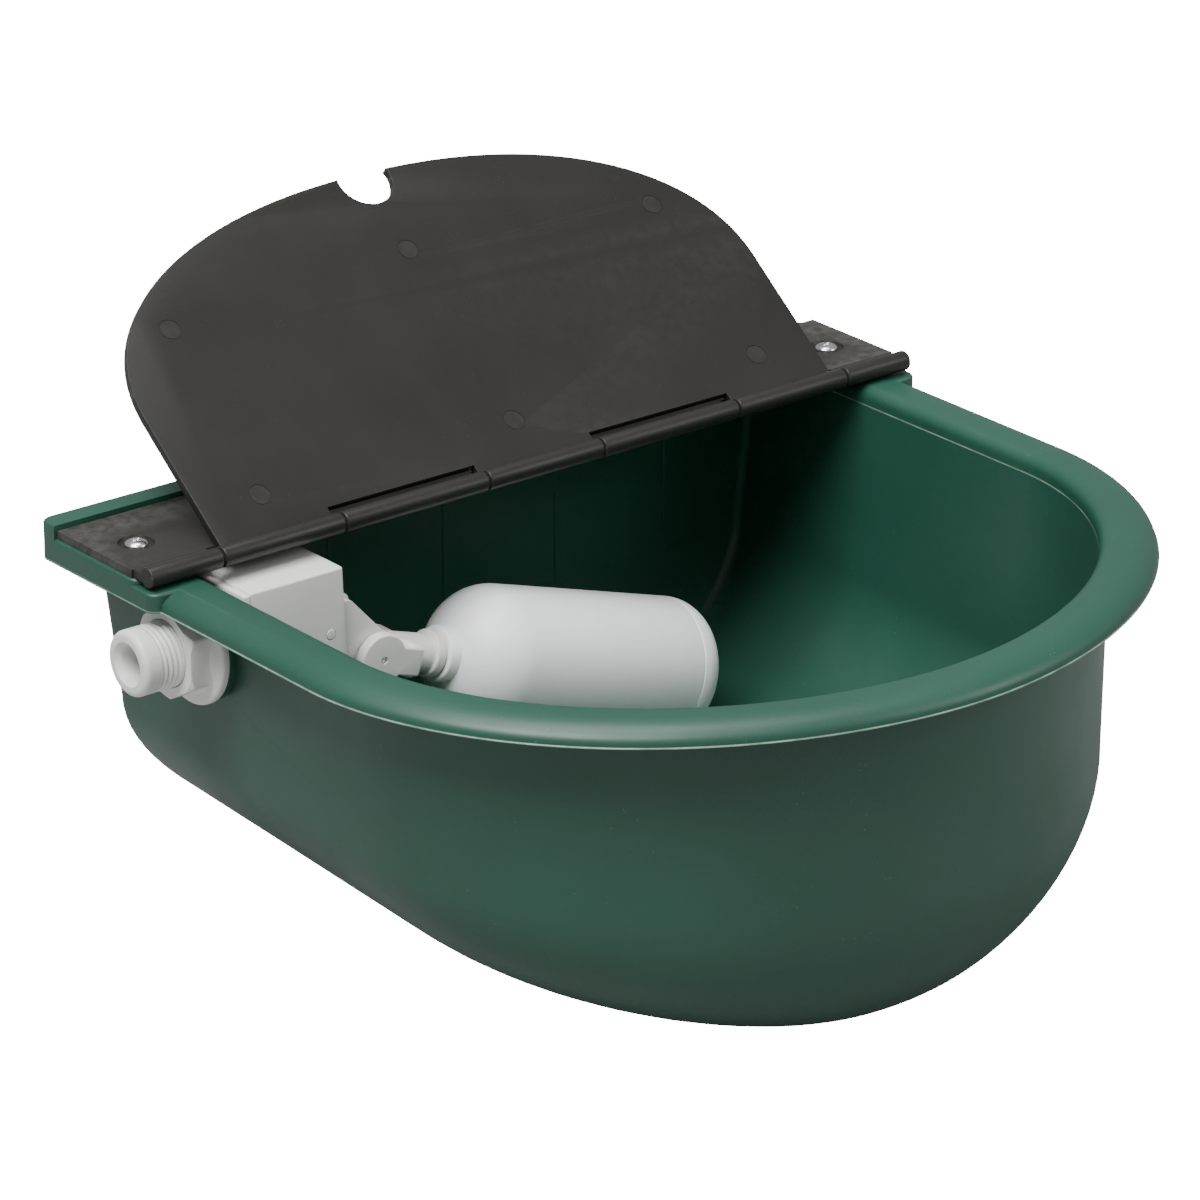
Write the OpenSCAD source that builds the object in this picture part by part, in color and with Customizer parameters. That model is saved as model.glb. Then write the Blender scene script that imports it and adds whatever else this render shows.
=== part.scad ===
// Wall-mounted automatic drinking bowl for livestock, with a float valve and a hinged cover flap.
// Millimetres. Origin: centre of the two wall holes on the back face. +X right, +Y into the wall, +Z up.
// Stored with the bowl empty: the float hangs low, the valve is open, the flap leans back on its stop.

/* [Bowl] */
// Half width of the rim across the straight sides
rim_half_w = 149.8; // [120:0.1:190]
// Length of the straight sides, from the back face
straight_len = 137; // [110:1:180]
// Depth of the curved front, past the straight sides
front_bow = 127.5; // [100:0.5:160]
// Height from the middle of the bottom to the crown of the rim
bowl_h = 117; // [95:1:150]
// Slope of the bottom, down towards the front, per millimetre
floor_slope = 0.064; // [0:0.001:0.08]
// Exponent of the curved front at the rim (2 is an ellipse)
front_power = 1.92; // [1.8:0.01:2.2]
// Exponent of the curved front at the bottom
floor_power = 2.2; // [1.9:0.01:2.4]
// Wall thickness
wall = 3.2; // [2.5:0.1:4.5]
// Distance from the rim's edge in to the wall, at the sides
side_inset = 16; // [13:0.5:20]
// Distance from the rim's edge in to the wall, at the front
front_inset = 15; // [13:0.5:20]
// Inward slope of the side walls, per millimetre of depth
side_draft = 0.117; // [0.05:0.001:0.15]
// Width of the bottom rounding at the sides
side_round = 85; // [50:1:90]
// Width of the bottom rounding at the front
front_round = 34; // [20:1:60]
// Width of the bottom rounding at the back
back_round = 38; // [15:1:50]
// Height of the bottom rounding
round_h = 54; // [35:1:60]
// Distance of the back wall in front of the back face, which the flange and the wall pads reach
back_inset = 0.6; // [0.3:0.1:3]
// Radius of the upright corners at the back
corner_r = 6; // [5:0.5:14]

/* [Rim and flange] */
// Height of the rim's outer roll
rim_roll_h = 6.2; // [5:0.1:9]
// Width of the rim's outer roll
rim_roll_w = 11; // [7:0.5:12]
// Radius of the rim's inner edge
rim_inner_r = 4; // [2:0.5:5]
// Thickness of the lip that hangs from the rim's edge
lip_t = 2.6; // [2:0.1:4]
// Thickness of the skin over the hollow under the rim
skin_t = 3; // [2:0.1:4]
// Overhang of the flange past the rim, on each side
flange_overhang = 2.8; // [1:0.1:8]
// Height of the curb behind the cover plate, above the seat
curb_h = 4.4; // [2:0.1:8]
// Radius of the flange's corners
flange_corner_r = 4; // [2:0.5:8]

/* [Cover] */
// Distance of the hinge axis in front of the back face
hinge_setback = 56; // [45:1:70]
// Height of the hinge axis above the wall holes
hinge_rise = 22; // [18:1:30]
// Distance of the hinge barrel's ends inside the flange's sides
barrel_margin = 1.6; // [0.5:0.1:4]
// Radius of the hinge barrel
barrel_r = 3.3; // [3:0.1:5]
// Distance of the cover plate's ends inside the flange's sides
plate_margin = 1; // [1:0.1:6]
// Thickness of the cover plate
plate_t = 2.7; // [2:0.1:4]
// Height of the cover plate's top above the hinge axis
plate_top = 0.7; // [0:0.1:1.5]
// Distance of the flap's sides inside the rim's edge
flap_margin = 28.4; // [24:0.1:40]
// Length of the flap's straight sides, from the hinge axis
flap_straight = 51.5; // [35:0.5:70]
// Depth of the flap's curved edge, past its straight sides
flap_bow = 66.7; // [50:0.5:80]
// Exponent of the flap's curved edge
flap_power = 2.18; // [1.9:0.01:2.6]
// Thickness of the flap
flap_t = 2.8; // [2:0.1:4]
// Radius of the finger notch
notch_r = 9.75; // [8:0.25:14]
// Depth of the finger notch
notch_depth = 12; // [8:0.5:16]
// Angle that the flap opens, from flat
flap_open = 142.6; // [110:0.1:145]
// Half length of the flap's middle knuckle
middle_knuckle = 22.9; // [15:0.1:35]
// Length of the flap's side knuckles
side_knuckle_len = 45.7; // [25:0.1:55]
// Length of the flap's side knuckles past the flap's sides
knuckle_past_flap = 2.8; // [0:0.1:4]
// Radius of the hinge pin
pin_r = 1.5; // [1:0.1:2]
// Distance of the cover screws inside the flange's sides
screw_margin = 14.6; // [12:0.1:22]
// Distance of the cover screws behind the hinge axis
screw_back = 24.4; // [18:0.1:32]
// Radius of the cover screws' heads
screw_head_r = 3.75; // [3:0.05:5]
// Radius of the cover screws' thread
screw_r = 2.1; // [1.5:0.05:2.5]
// Length of the cover screws under the head
screw_len = 12; // [8:1:16]

/* [Wall fixing] */
// Distance between the two wall holes
wall_hole_pitch = 135; // [120:1:150]
// Radius of the wall holes
wall_hole_r = 3.25; // [2.5:0.25:4]

/* [Valve] */
// Radius of the G1/2 inlet thread
thread_r = 10.4775; // [8.2:0.0001:13.3]
// Length of free thread outside the nut
thread_len = 14; // [10:0.5:20]
// Radius of the inlet bore
inlet_bore_r = 5.5; // [4:0.5:7]
// Depth of the valve axis below the hinge axis
valve_drop = 26; // [24:0.5:30]
// Radius of the shank inside the nut
shank_r = 10.3; // [9:0.1:10.4]
// Width across the flats of the nut
nut_flats = 27; // [25:0.5:32]
// Thickness of the nut, without its flange
nut_t = 8; // [5:0.5:12]
// Radius of the nut's flange
nut_flange_r = 18.5; // [16:0.5:22]
// Thickness of the nut's flange
nut_flange_t = 3; // [2:0.5:5]
// Thickness of the gasket inside the wall
gasket_t = 1.5; // [1:0.5:3]
// Half width of the splash cover
splash_half_w = 14; // [13.5:0.5:18]
// Length of the splash cover
splash_len = 35.5; // [32:0.5:37]
// Height of the splash cover's top above the valve axis
splash_rise = 18; // [14:0.5:20]
// Height of the splash cover
splash_h = 32; // [28:1:36]
// Wall thickness of the splash cover
splash_wall = 2; // [1.5:0.1:3]
// Radius of the plunger
plunger_r = 5.92; // [5:0.01:5.95]
// Radius of the nozzle's hole
nozzle_hole_r = 1.8; // [1:0.1:2.5]

/* [Float] */
// Radius of the float
float_r = 23.25; // [20:0.25:25]
// Length of the float, without its neck
float_len = 104; // [90:1:122]
// Wall thickness of the float
float_wall = 1.8; // [1.2:0.1:3]
// Radius of the arm's rod
rod_r = 6.2; // [4:0.1:7]
// Radius of the round ears at the pivot
ear_r = 8.4; // [8:0.1:11]
// Gap between the hanging float and the bottom
float_floor_gap = 8.1; // [3:0.1:12]
// Distance from the pivot up to the plunger's axis
lever_len = 18; // [16:0.5:20]
// Lean of the arm's finger towards the inlet at mid stroke
lever_lean = 35; // [25:1:38]
// Radius of the pivot pin
pivot_r = 1.25; // [1:0.05:1.5]

/* [Fits] */
// Radial gap of a shaft that turns in its bore
run_gap = 0.06; // [0.02:0.01:0.09]
// Gap round a fixed part in its place
seat_gap = 0.15; // [0.05:0.05:0.3]
// Gap between parts that move past each other
move_gap = 0.4; // [0.3:0.05:0.8]
// Gap between the hinge knuckles
knuckle_gap = 0.8; // [0.4:0.1:1.2]

/* [Hidden] */
$fn = 64;

tiny = 0.01;
past = 1;
far = 200;
front_steps = 32;
corner_steps = 3;
round_steps = 7;
rim_steps = 6;
edge_steps = 3;
flap_steps = 48;

// Levels and places in the part's frame
barrel_over_rim = 0.5;
hinge_y = -hinge_setback;
seat_z = hinge_rise + plate_top - plate_t;
rim_top = hinge_rise - barrel_r - barrel_over_rim;
rim_low = rim_top - rim_roll_h;
floor_z = rim_top - bowl_h;
round_top = floor_z + round_h;
valve_y = hinge_y;
valve_z = hinge_rise - valve_drop;
lip_depth = 1;
floor_corner_gain = 14;
least_corner_r = 3;

// Flange round the cover plate, and the land in front of it under the hinge barrel
plate_depth = 47.1;
open_clear = 0.5;
plate_gap = 0.3;
land_margin = 1.2;
land_drop = 0.2;
flange_ahead = 5;
flange_steps = 4;
ledge_w = 4;
ledge_t = 3.5;
plate_back = hinge_y + plate_depth;
plate_edge_y = hinge_y + (barrel_r + open_clear - plate_top * cos(flap_open)) / sin(flap_open);
land_y = hinge_y + barrel_r + land_margin;
land_z = rim_top - land_drop;
flange_half_w = rim_half_w + flange_overhang;
flange_front = hinge_y - flange_ahead;
curb_short = 14;
boss_r = 5;
wall_pad_r = wall_hole_r + 5;
wall_pad_h = 2.5;

// Cover
plate_half_w = flange_half_w - plate_margin;
barrel_half_len = flange_half_w - barrel_margin;
screw_x = flange_half_w - screw_margin;
flap_half_w = rim_half_w - flap_margin;
flap_len = flap_straight + flap_bow;
side_knuckle_out = flap_half_w + knuckle_past_flap;
side_knuckle_in = side_knuckle_out - side_knuckle_len;
half_gap = knuckle_gap / 2;
slot_depth = 6.6;
slot_over = 1.2;
web_t = 2;
blind_end = 2;
pin_play = 0.2;
recess_r = 5.5;
recess_depth = 1;
head_h = 2.1;
head_dome_r = 6.5;
drive_half_len = 2;
drive_half_w = 0.4;
drive_depth = 1.2;
drive_angle = 20;

// Inlet: the wall's faces on the valve axis, then the pieces clamped on it, from outside to inside
pad_step = 0.5;
pad_r = nut_flange_r - pad_step;
inner_pad_r = 16;
pad_clear = 0.3;
pad_root = 1.5;
shank_clear = 0.4;
shoulder_t = 2.5;
shoulder_h = 13.5;
wall_out_x = -(rim_half_w - side_at(valve_z));
wall_in_x = wall_out_x + wall;
pad_out_x = side_inset - rim_half_w - pad_clear;
pad_in_x = wall_in_x + side_draft * inner_pad_r + pad_clear;
nut_out_x = pad_out_x - nut_flange_t - nut_t;
spigot_x = nut_out_x - thread_len;
shoulder_x = pad_in_x + gasket_t;
splash_x = shoulder_x + shoulder_t;
splash_end = splash_x + splash_len;

// Inside of the valve, along its axis
valve_barrel_r = 8.6;
guide_short = 2;
chamber_depth = 16;
nozzle_seat_r = 4.2;
nozzle_seat_len = 4;
nozzle_tip_len = 4;
nozzle_tip_r = 3;
nozzle_clear = 0.02;
guide_end = splash_end - guide_short;
chamber_x = splash_x + chamber_depth;
seat_x = chamber_x - nozzle_seat_len;
drain_half_w = 3;
drain_len = 5;
lug_r = 1.7;
lug_back = 4;
lug_drop = 3;
ring_mid_x = chamber_x - 6.5;
ring_r = 0.56;
ring_squeeze = 0.06;
groove_half_len = 1;
groove_depth = 1.2;

// Float's rest: it hangs with a gap over the sloping bottom
cap_round = 11;
cap_len = 12;
float_start = 32;
float_reach = float_start + float_len - cap_round;
pivot_ahead = 17.5;
pivot_x = guide_end + pivot_ahead;
pivot_z = valve_z - lever_len;
most_drop = 20;
floor_under_float = floor_z + wall + floor_slope * (straight_len - hinge_setback);
float_drop_angle = min(most_drop,
    asin((pivot_z - floor_under_float - float_floor_gap) / norm([float_reach, float_r]))
    - atan(float_r / float_reach));

// Lever and plunger: the arm's finger pushes the plunger's end, and the water pushes it back
half_stroke_angle = float_drop_angle / 2;
stroke = 2 * lever_len * sin(half_stroke_angle);
finger_len = lever_len / cos(lever_lean);
finger_turn = half_stroke_angle - lever_lean;
finger_r = 2.4;
finger_neck_r = 1.5;
open_gap = 0.3;
washer_t = 2.5;
washer_r = 4.5;
washer_proud = 1;
nozzle_tip_x = chamber_x + nozzle_tip_len;
washer_front = nozzle_tip_x + stroke + open_gap;
plunger_front = washer_front + washer_proud;
plunger_end = pivot_x + finger_len * sin(finger_turn) - finger_r - move_gap;
plunger_flat = 5.2;
plunger_chamfer = 0.8;

// Cheeks of the valve body and the arm's ears, each side of the plunger
cheek_in = 3.9;
cheek_out = 7.6;
cheek_r = 8.2;
cheek_back = 14;
cheek_over = 3.4;
mouth_over = 6.5;
ear_in = cheek_out + move_gap;
ear_out = ear_in + 4;
ear_half_h = 4.8;
hub_r = 5;
hub_half_w = cheek_in - move_gap;
hub_half_h = 3;
block_in = ear_r + 0.8;
block_out = block_in + 6;
block_half_h = 5.6;
pin_short = 1;

// Float, along its own axis from the pivot
shoulder_len = 20;
shoulder_power = 0.9;
neck_r = 9;
neck_len = 3;
socket_len = 6;
collar_over = 1.4;
collar_from = 7;
collar_to = 3.5;
cap_x = float_start + float_len - cap_len;

function power(value, p) = sign(value) * pow(abs(value), p);

// Inset of the outer wall from the rim's edge, at the sides
function side_at(z) = side_inset + side_draft * max(0, rim_low - z);

// Share of the way from the rim down to the bottom
function depth_share(z) = max(0, min(1, (rim_low - lip_depth - z) / (rim_low - lip_depth - floor_z)));

// One level outline: the curved front, then the two rounded corners at the back
function outline(side, front, back, corner, p = front_power) = concat(
    [for (i = [0:front_steps])
        let (t = 180 * i / front_steps)
        [(rim_half_w - side) * power(cos(t), 2 / p),
         -straight_len - (front_bow - front) * power(sin(t), 2 / p)]],
    [for (i = [0:corner_steps])
        let (t = 90 * i / corner_steps)
        [-(rim_half_w - side) + corner * (1 - cos(t)), -back - corner * (1 - sin(t))]],
    [for (i = [corner_steps:-1:0])
        let (t = 90 * i / corner_steps)
        [rim_half_w - side - corner * (1 - cos(t)), -back - corner * (1 - sin(t))]]);

// An outline as points at a height, which slopes more and more towards the bottom
function ring(side, front, back, corner, z) =
    let (share = depth_share(z), p = front_power + share * (floor_power - front_power))
    [for (q = outline(side, front, back, corner, p))
        [q[0], q[1], z + floor_slope * (q[1] + straight_len) * share]];

// Wall and bottom rounding at a depth t inside the outer skin
function wall_rings(t) =
    let (corner = max(least_corner_r, corner_r - t))
    concat(
        [ring(side_at(rim_low) + t, front_inset + t, back_inset + t, corner, rim_low - lip_depth)],
        [for (i = [0:round_steps])
            let (q = 90 * i / round_steps, turn = 1 - cos(q))
            ring(side_at(round_top) + t + (side_round - t) * turn,
                 front_inset + t + (front_round - t) * turn,
                 back_inset + t + (back_round - t) * turn,
                 corner + floor_corner_gain * turn,
                 round_top - (round_h - t) * sin(q))]);

// A closed solid through a list of rings, the highest first
module loft(rings) {
    n = len(rings[0]);
    m = len(rings);
    points = [for (r = rings) each r];
    sides = [for (j = [0:m - 2], i = [0:n - 1])
        let (a = j * n + i, b = j * n + (i + 1) % n)
        each [[a, a + n, b], [b, a + n, b + n]]];
    top = [[for (i = [0:n - 1]) i]];
    base = [[for (i = [n - 1:-1:0]) (m - 1) * n + i]];
    polyhedron(points = points, faces = concat(top, sides, base), convexity = 6);
}

module block(low, high) {
    translate(low) cube(high - low);
}

module x_cylinder(x0, x1, r) {
    translate([x0, 0, 0]) rotate([0, 90, 0]) cylinder(r = r, h = x1 - x0);
}

module y_cylinder(y0, y1, r) {
    translate([0, y0, 0]) rotate([-90, 0, 0]) cylinder(r = r, h = y1 - y0);
}

module z_cylinder(z0, z1, r) {
    translate([0, 0, z0]) cylinder(r = r, h = z1 - z0);
}

// A child on each side of the valve's upright middle plane
module mirrored_in_y() {
    children();
    mirror([0, 1, 0]) children();
}

module at_screws() {
    for (s = [-1, 1]) translate([s * screw_x, hinge_y + screw_back, 0]) children();
}

module at_wall_holes() {
    for (s = [-1, 1]) translate([s * wall_hole_pitch / 2, 0, 0]) children();
}

module at_hinge() {
    translate([0, hinge_y, hinge_rise]) children();
}

module at_valve() {
    translate([0, valve_y, valve_z]) children();
}

module at_pivot() {
    translate([pivot_x, valve_y, pivot_z]) children();
}

// ---- Bowl ----

module rim_solid() {
    loft([for (i = [0:rim_steps])
        let (q = 90 * (1 - i / rim_steps), in = rim_roll_w * (1 - cos(q)))
        ring(in, in, back_inset + past, corner_r, rim_low + rim_roll_h * sin(q))]);
}

module body_solid() {
    loft(concat([ring(side_inset, front_inset, back_inset, corner_r, rim_top - lip_depth)], wall_rings(0)));
}

module cavity() {
    edge_side = side_inset + wall - rim_inner_r;
    edge_front = front_inset + wall - rim_inner_r;
    edge_back = back_inset + wall;
    loft(concat(
        [ring(edge_side, edge_front, edge_back, corner_r, seat_z + past)],
        [for (i = [0:edge_steps])
            let (q = 90 * i / edge_steps, in = rim_inner_r * sin(q))
            ring(edge_side + in, edge_front + in, edge_back, corner_r, rim_top - rim_inner_r * (1 - cos(q)))],
        wall_rings(wall)));
}

// Flange outline, with rounded corners
function flange_outline(w, y0, y1, r) = [
    for (c = [[w, y1, 0], [-w, y1, 90], [-w, y0, 180], [w, y0, 270]], k = [0:flange_steps])
        let (a = c[2] + 90 * k / flange_steps)
        [c[0] - sign(c[0]) * r + r * cos(a), c[1] - sign(c[1] - (y0 + y1) / 2) * r + r * sin(a)]];

module flange_slab(z0, z1) {
    translate([0, 0, z0]) linear_extrude(z1 - z0)
        polygon(flange_outline(flange_half_w, flange_front, 0, flange_corner_r));
}

module flange() {
    difference() {
        flange_slab(rim_low - land_drop, seat_z);
        block([-far, flange_front - past, land_z], [far, land_y, seat_z + past]);
    }
}

// Raised strip behind the cover plate, which ends short of the right end
module curb() {
    intersection() {
        flange_slab(seat_z - skin_t, seat_z + curb_h);
        block([-far, plate_back + plate_gap, 0],
              [flange_half_w - curb_short, past, seat_z + curb_h + past]);
    }
}

// Ledge under the back edge of the cover plate
module plate_ledge() {
    block([side_inset - rim_half_w, plate_back - ledge_w, seat_z - ledge_t],
          [rim_half_w - side_inset, -past, seat_z]);
}

// Hollow under the rim and the flange, outside the wall
module under_hollow() {
    solid_back = 8;
    difference() {
        translate([0, 0, rim_low - past]) linear_extrude(rim_top - skin_t - rim_low + past)
            polygon(outline(lip_t, lip_t, -far / 10, corner_r));
        translate([0, 0, rim_low - 2 * past]) linear_extrude(rim_roll_h + 4 * past)
            polygon(outline(side_inset, front_inset, -far / 8, corner_r));
        block([-far, -wall - solid_back, rim_low - 3 * past], [far, far / 4, rim_top]);
    }
}

module screw_bosses() {
    at_screws() z_cylinder(rim_low, seat_z - past, boss_r);
}

module wall_pads() {
    at_wall_holes() y_cylinder(-wall - wall_pad_h, 0, wall_pad_r);
}

module inlet_pads() {
    at_valve() {
        x_cylinder(pad_out_x, wall_out_x + pad_root, pad_r);
        x_cylinder(wall_in_x - pad_root, pad_in_x, inner_pad_r);
    }
}

module bowl() {
    color([0.21, 0.33, 0.28])
    difference() {
        union() {
            difference() {
                union() {
                    rim_solid();
                    body_solid();
                    flange();
                }
                under_hollow();
                cavity();
            }
            curb();
            plate_ledge();
            screw_bosses();
            wall_pads();
            inlet_pads();
        }
        at_screws() z_cylinder(seat_z - screw_len, seat_z + past, screw_r + run_gap);
        at_wall_holes() y_cylinder(-far / 10, past, wall_hole_r);
        at_valve() x_cylinder(pad_out_x - past, pad_in_x + past, shank_r + shank_clear);
    }
}

// ---- Cover ----

// Web between a knuckle and the plate
module plate_web(x0, x1) {
    block([x0, hinge_y, hinge_rise - web_t], [x1, plate_edge_y + past, hinge_rise + plate_top]);
}

module cover_plate() {
    spans = [[-barrel_half_len, -side_knuckle_out - half_gap],
             [-side_knuckle_in + half_gap, -middle_knuckle - half_gap],
             [middle_knuckle + half_gap, side_knuckle_in - half_gap],
             [side_knuckle_out + half_gap, barrel_half_len]];
    plate_z = seat_z + plate_t;
    color([0.2, 0.2, 0.2])
    difference() {
        union() {
            block([-plate_half_w, plate_edge_y, seat_z], [plate_half_w, plate_back, plate_z]);
            for (s = spans) {
                at_hinge() x_cylinder(s[0], s[1], barrel_r);
                plate_web(max(s[0], -plate_half_w), min(s[1], plate_half_w));
            }
        }
        at_hinge() x_cylinder(-barrel_half_len + blind_end, barrel_half_len + past, pin_r + run_gap / 2);
        at_screws() {
            z_cylinder(seat_z - past, plate_z + past, screw_r + seat_gap);
            z_cylinder(plate_z - recess_depth, plate_z + past, recess_r);
        }
    }
}

// Flap lying flat over the bowl: x along the hinge, y back from it
function flap_outline() = concat(
    [[flap_half_w, 0]],
    [for (i = [0:flap_steps])
        let (t = 180 * i / flap_steps)
        [flap_half_w * power(cos(t), 2 / flap_power),
         -flap_straight - flap_bow * power(sin(t), 2 / flap_power)]],
    [[-flap_half_w, 0]]);

// Room in the flap for the plate's knuckles
module flap_slots() {
    mirrored_in_x()
        block([middle_knuckle, -slot_depth, -far / 10], [side_knuckle_in + slot_over, far / 10, far / 10]);
}

module mirrored_in_x() {
    children();
    mirror([1, 0, 0]) children();
}

module flat_flap() {
    notch_y = flap_len - notch_depth + notch_r;
    spans = [[-side_knuckle_out + half_gap, -side_knuckle_in - half_gap],
             [-middle_knuckle + half_gap, middle_knuckle - half_gap],
             [side_knuckle_in + half_gap, side_knuckle_out - half_gap]];
    difference() {
        union() {
            difference() {
                translate([0, 0, barrel_r - flap_t]) linear_extrude(flap_t) polygon(flap_outline());
                translate([0, -notch_y, 0]) z_cylinder(-past, barrel_r + past, notch_r);
                flap_slots();
            }
            for (s = spans) x_cylinder(s[0], s[1], barrel_r);
        }
        x_cylinder(-barrel_half_len, barrel_half_len, pin_r + run_gap);
    }
}

module cover_flap() {
    color([0.27, 0.27, 0.27])
    at_hinge() rotate([-flap_open, 0, 0]) flat_flap();
}

module hinge_pin() {
    color([0.75, 0.75, 0.77])
    at_hinge() x_cylinder(-barrel_half_len + blind_end + pin_play, barrel_half_len - pin_short, pin_r);
}

module cover_screws() {
    head_z = seat_z + plate_t - recess_depth;
    top_z = head_z + head_h;
    color([0.8, 0.8, 0.82])
    at_screws() difference() {
        union() {
            z_cylinder(head_z - screw_len + past / 2, head_z + past / 2, screw_r);
            intersection() {
                z_cylinder(head_z, top_z, screw_head_r);
                translate([0, 0, top_z - head_dome_r]) sphere(r = head_dome_r);
            }
        }
        for (a = [0, 90]) rotate([0, 0, a + drive_angle])
            block([-drive_half_len, -drive_half_w, top_z - drive_depth],
                  [drive_half_len, drive_half_w, top_z + past]);
    }
}

// ---- Valve ----

// Side plate of the valve body that carries the pivot pin
module cheek() {
    back_x = splash_x + cheek_back;
    top_z = valve_z + cheek_over;
    translate([0, valve_y + cheek_out, 0]) rotate([90, 0, 0]) linear_extrude(cheek_out - cheek_in)
        polygon([[back_x, valve_z - 2], [back_x, pivot_z + 2], [back_x + 8, pivot_z - cheek_r],
                 [pivot_x, pivot_z - cheek_r], [pivot_x, pivot_z], [pivot_x + 3, pivot_z + 7.5],
                 [splash_end + 6, top_z], [splash_end - 6, top_z]]);
    at_pivot() y_cylinder(cheek_in, cheek_out, cheek_r);
}

// Lug that the splash cover snaps over
module snap_lug(r, y0, y1) {
    translate([guide_end - lug_back, 0, -lug_drop]) y_cylinder(y0, y1, r);
}

module valve_body() {
    color([0.87, 0.87, 0.86])
    difference() {
        union() {
            at_valve() {
                x_cylinder(spigot_x, nut_out_x, thread_r);
                x_cylinder(nut_out_x - tiny, shoulder_x, shank_r);
                block([shoulder_x, -shoulder_h, -shoulder_h], [splash_x, shoulder_h, splash_rise]);
                x_cylinder(shoulder_x, guide_end, valve_barrel_r);
                mirrored_in_y() snap_lug(lug_r, cheek_in + past, splash_half_w - 2 * tiny);
            }
            cheek();
            translate([0, 2 * valve_y, 0]) mirror([0, 1, 0]) cheek();
        }
        at_valve() {
            x_cylinder(spigot_x - past, seat_x, inlet_bore_r);
            x_cylinder(spigot_x, chamber_x + past, nozzle_seat_r);
            x_cylinder(chamber_x, plunger_end + past, plunger_r + run_gap);
            block([chamber_x + past, -drain_half_w, -valve_barrel_r - past],
                  [chamber_x + past + drain_len, drain_half_w, 0]);
        }
        at_pivot() y_cylinder(-cheek_out - past, cheek_out + past, pivot_r + run_gap);
    }
}

module lock_nut() {
    color([0.88, 0.88, 0.87])
    at_valve() difference() {
        union() {
            x_cylinder(pad_out_x - nut_flange_t, pad_out_x, nut_flange_r);
            translate([nut_out_x, 0, 0]) rotate([0, 90, 0])
                cylinder(r = nut_flats / sqrt(3), h = nut_t + past, $fn = 6);
        }
        x_cylinder(nut_out_x - past, pad_out_x + past, shank_r + run_gap);
    }
}

module wall_gasket() {
    color([0.1, 0.1, 0.1])
    at_valve() difference() {
        x_cylinder(pad_in_x, shoulder_x, shoulder_h - past / 2);
        x_cylinder(pad_in_x - past, shoulder_x + past, shank_r + seat_gap);
    }
}

// Replaceable jet that the plunger closes
module nozzle() {
    jet_back = ring_mid_x - groove_half_len - 1.5;
    color([0.8, 0.82, 0.85])
    at_valve() difference() {
        union() {
            x_cylinder(jet_back, seat_x, inlet_bore_r - nozzle_clear);
            x_cylinder(seat_x, chamber_x + past, nozzle_seat_r - nozzle_clear);
            x_cylinder(chamber_x, nozzle_tip_x, nozzle_tip_r);
        }
        x_cylinder(jet_back - past, nozzle_tip_x + past, nozzle_hole_r);
        difference() {
            x_cylinder(ring_mid_x - groove_half_len, ring_mid_x + groove_half_len, inlet_bore_r + past);
            x_cylinder(jet_back, seat_x, inlet_bore_r - groove_depth);
        }
    }
}

module nozzle_ring() {
    color([0.1, 0.1, 0.1])
    at_valve() translate([ring_mid_x, 0, 0]) rotate([0, 90, 0])
        rotate_extrude() translate([inlet_bore_r - ring_r - ring_squeeze, 0]) circle(r = ring_r, $fn = 24);
}

module plunger() {
    color([0.85, 0.85, 0.84])
    at_valve() difference() {
        rotate([0, 90, 0]) rotate_extrude()
            polygon([[0, plunger_front], [plunger_r, plunger_front], [plunger_r, plunger_end - plunger_chamfer],
                     [plunger_r - plunger_chamfer, plunger_end], [0, plunger_end]]);
        x_cylinder(plunger_front - past, plunger_front + washer_t - washer_proud, washer_r + 4 * tiny);
        mirrored_in_y() block([plunger_front - past, plunger_flat, -far], [plunger_end + past, far, far]);
    }
}

module plunger_washer() {
    color([0.12, 0.12, 0.12])
    at_valve() x_cylinder(washer_front, washer_front + washer_t, washer_r);
}

module splash_cover() {
    inner_half_w = splash_half_w - splash_wall;
    mouth_half_w = cheek_out + move_gap;
    color([0.9, 0.9, 0.89])
    at_valve() difference() {
        block([splash_x, -splash_half_w, splash_rise - splash_h], [splash_end, splash_half_w, splash_rise]);
        block([splash_x - past, -inner_half_w, splash_rise - splash_h - past],
              [splash_end - splash_wall, inner_half_w, splash_rise - splash_wall]);
        block([splash_end - splash_wall - past, -mouth_half_w, splash_rise - splash_h - past],
              [splash_end + past, mouth_half_w, mouth_over]);
        mirrored_in_y() snap_lug(lug_r + seat_gap, inner_half_w - past, splash_half_w + past);
    }
}

// ---- Float ----

// Places a child on the float's own axis: x from the pivot along the arm
module along_arm() {
    at_pivot() rotate([0, float_drop_angle, 0]) children();
}

module float_arm() {
    color([0.88, 0.88, 0.87])
    difference() {
        union() {
            along_arm() {
                mirrored_in_y() {
                    y_cylinder(ear_in, ear_out, ear_r);
                    block([0, ear_in, -ear_half_h], [block_out, ear_out, ear_half_h]);
                }
                block([block_in, -ear_out, -block_half_h], [block_out, ear_out, block_half_h]);
                block([0, -hub_half_w, -hub_half_h], [block_in + past, hub_half_w, hub_half_h]);
                x_cylinder(block_in + past, float_start + socket_len, rod_r);
                x_cylinder(float_start - collar_from, float_start - collar_to, rod_r + collar_over);
            }
            at_pivot() {
                y_cylinder(-hub_half_w, hub_half_w, hub_r);
                rotate([0, finger_turn, 0]) {
                    block([-finger_neck_r, -hub_half_w, 0], [finger_neck_r, hub_half_w, finger_len]);
                    translate([0, 0, finger_len]) y_cylinder(-hub_half_w, hub_half_w, finger_r);
                }
            }
        }
        at_pivot() y_cylinder(-ear_out - past, ear_out + past, pivot_r + 2 * tiny);
    }
}

module pivot_pin() {
    color([0.75, 0.75, 0.77])
    at_pivot() y_cylinder(-ear_out + pin_short, ear_out - pin_short, pivot_r);
}

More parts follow.
